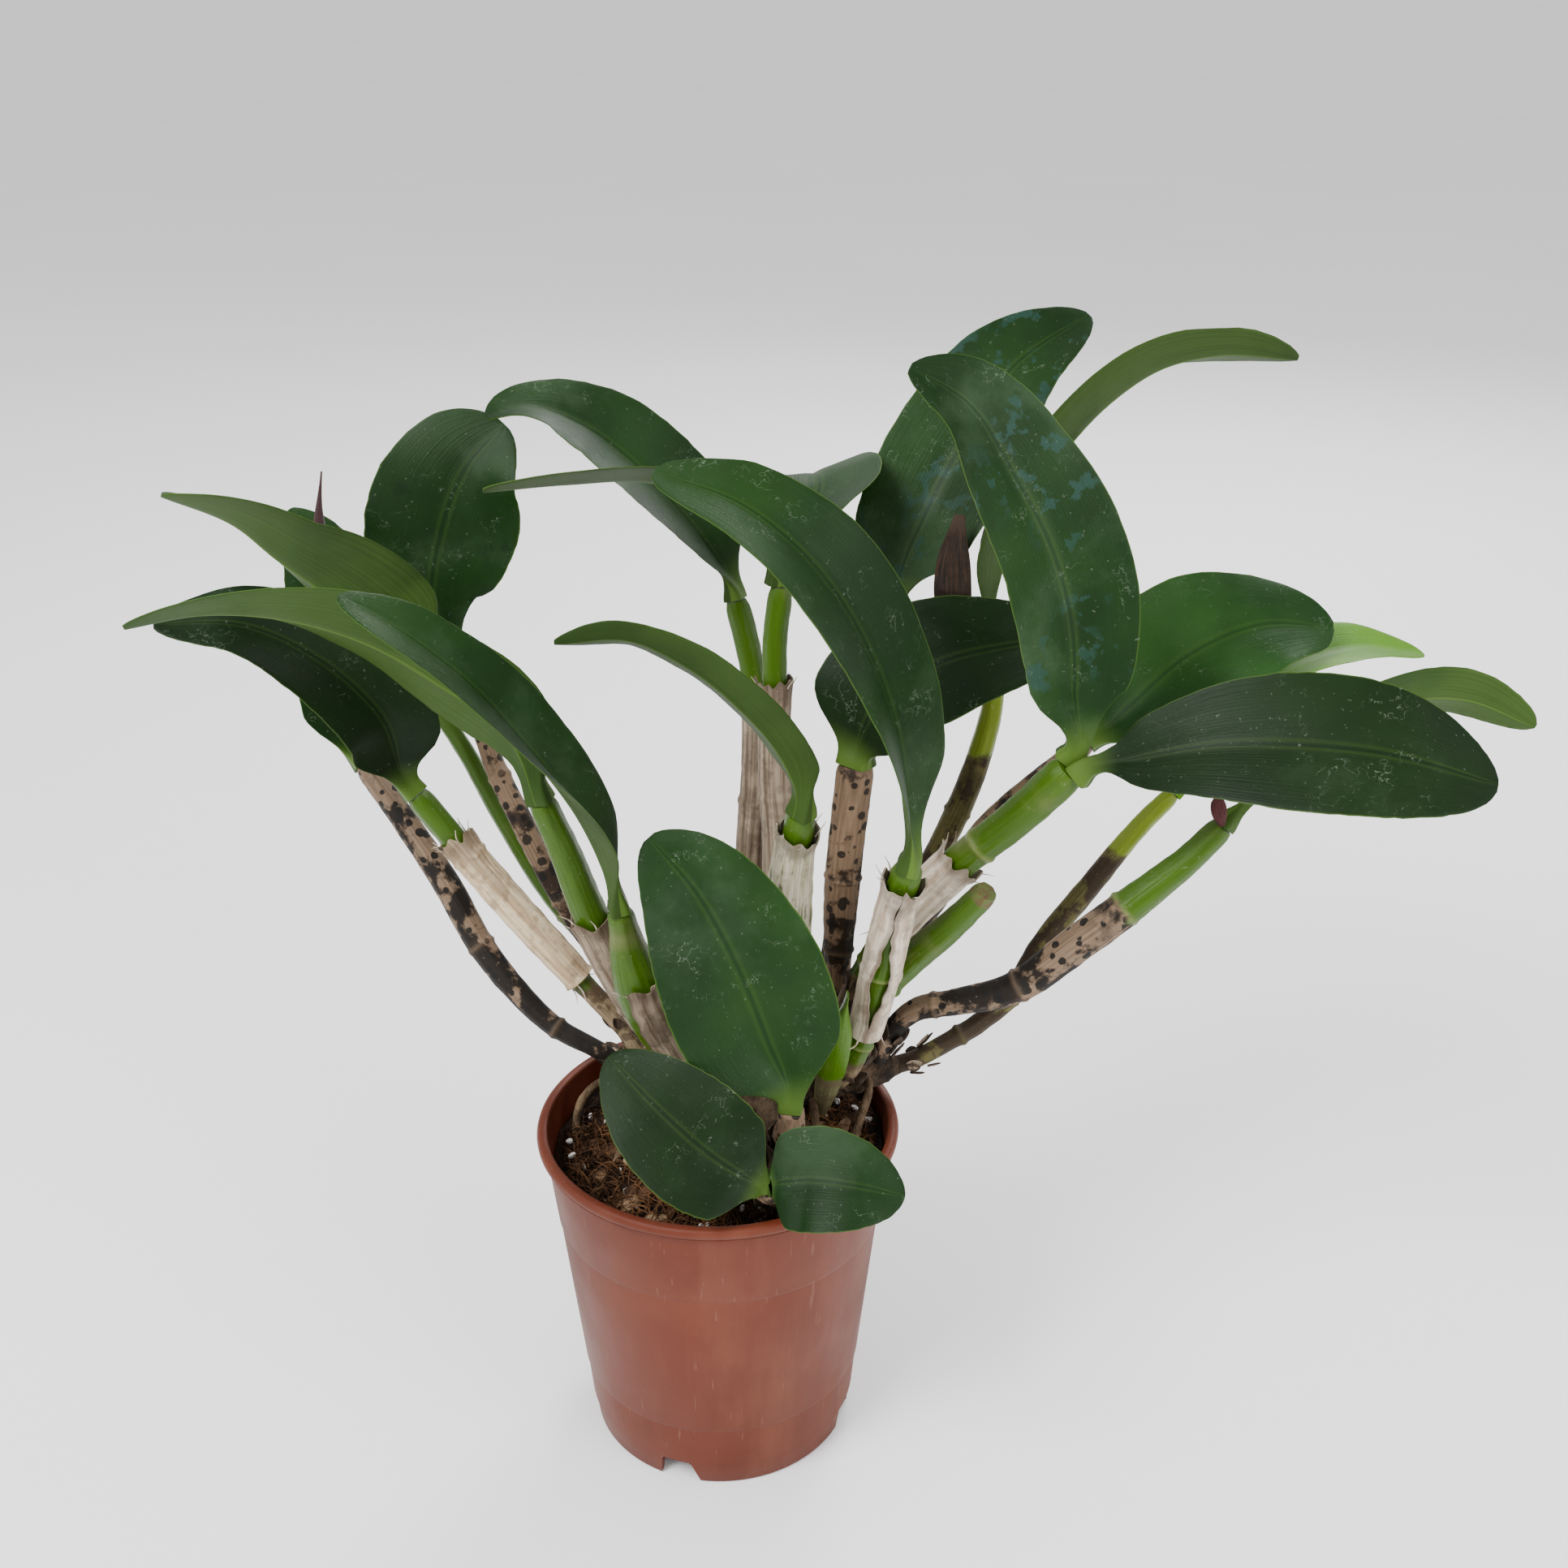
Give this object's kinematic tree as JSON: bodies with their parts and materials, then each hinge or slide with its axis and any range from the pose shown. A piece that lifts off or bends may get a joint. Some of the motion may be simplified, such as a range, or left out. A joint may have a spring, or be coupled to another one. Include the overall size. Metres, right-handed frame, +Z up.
{
  "type": "potted orchid plant",
  "caption": "Cattleya orchid out of flower, with leathery leaves on cane-like pseudobulbs, in a tapered plastic nursery pot.",
  "frame": {"origin": "centre of the pot's base, on the surface that it stands on", "axes": "+Z up, +X to the right as the plant is seen from its front, +Y to the back"},
  "size_m": [0.4244, 0.1808, 0.3644],
  "materials": {
    "pot": "moulded satin plastic",
    "mix": "loose fibre and bark",
    "rhizome": "rough dry rind",
    "green_bulb": "live stem, waxy",
    "olive_bulb": "live stem, dull",
    "brown_bulb": "dry stem rind",
    "dark_bulb": "dry stem rind, black spots",
    "pale_sheath": "dry papery sheath",
    "tan_sheath": "dry papery sheath",
    "dark_spathe": "dry dark spathe",
    "young_spathe": "live spathe",
    "cut_stub": "dry cut stub",
    "leaf": "leathery leaf, satin",
    "bright_leaf": "young leathery leaf, satin"
  },
  "bodies": {
    "root": {"nursery_pot": "pot", "potting_mix": "mix", "rhizome": "rhizome", "bulb_left_dark": "dark_bulb", "bulb_left_tan": "green_bulb", "bulb_left_slim": "green_bulb", "bulb_left_spotted": "brown_bulb", "bulb_left_green": "green_bulb", "bulb_fat_green": "green_bulb", "bulb_centre_white": "green_bulb", "bulb_centre_tall": "green_bulb", "bulb_centre_rear": "green_bulb", "bulb_centre_brown": "brown_bulb", "bulb_front_split": "green_bulb", "bulb_right_double": "green_bulb", "bulb_cut_green": "green_bulb", "bulb_right_olive": "olive_bulb", "bulb_right_hidden": "brown_bulb", "bulb_rear_slim": "brown_bulb", "bulb_right_low": "olive_bulb", "bulb_far_right": "dark_bulb", "bulb_front": "brown_bulb", "bulb_front_low": "brown_bulb", "sheath_left_tan": "tan_sheath", "sheath_left_green": "tan_sheath", "sheath_fat_green": "tan_sheath", "sheath_centre_white": "pale_sheath", "sheath_centre_tall": "tan_sheath", "sheath_centre_rear": "tan_sheath", "sheath_front_split": "pale_sheath", "sheath_right_double": "pale_sheath", "spathe_left_young": "young_spathe", "spathe_right_dry": "dark_spathe", "stub_right": "cut_stub", "bract_far_right": "cut_stub", "leaf_front": "leaf", "leaf_front_left_low": "leaf", "leaf_front_right_low": "leaf", "leaf_left_folded": "leaf", "leaf_left_arching": "leaf", "leaf_left_dark": "leaf", "leaf_left_high": "leaf", "leaf_left_upright": "leaf", "leaf_back_arching": "leaf", "leaf_edge_on": "leaf", "leaf_centre_long": "leaf", "leaf_behind_centre": "leaf", "leaf_centre_small": "leaf", "leaf_centre_dark": "leaf", "leaf_right_upright": "leaf", "leaf_top": "leaf", "leaf_top_right": "leaf", "leaf_right_wavy": "leaf", "leaf_right_broad": "leaf", "leaf_right_bright": "bright_leaf", "leaf_far_right": "leaf", "leaf_left_hidden": "leaf"}
  },
  "joints": []
}
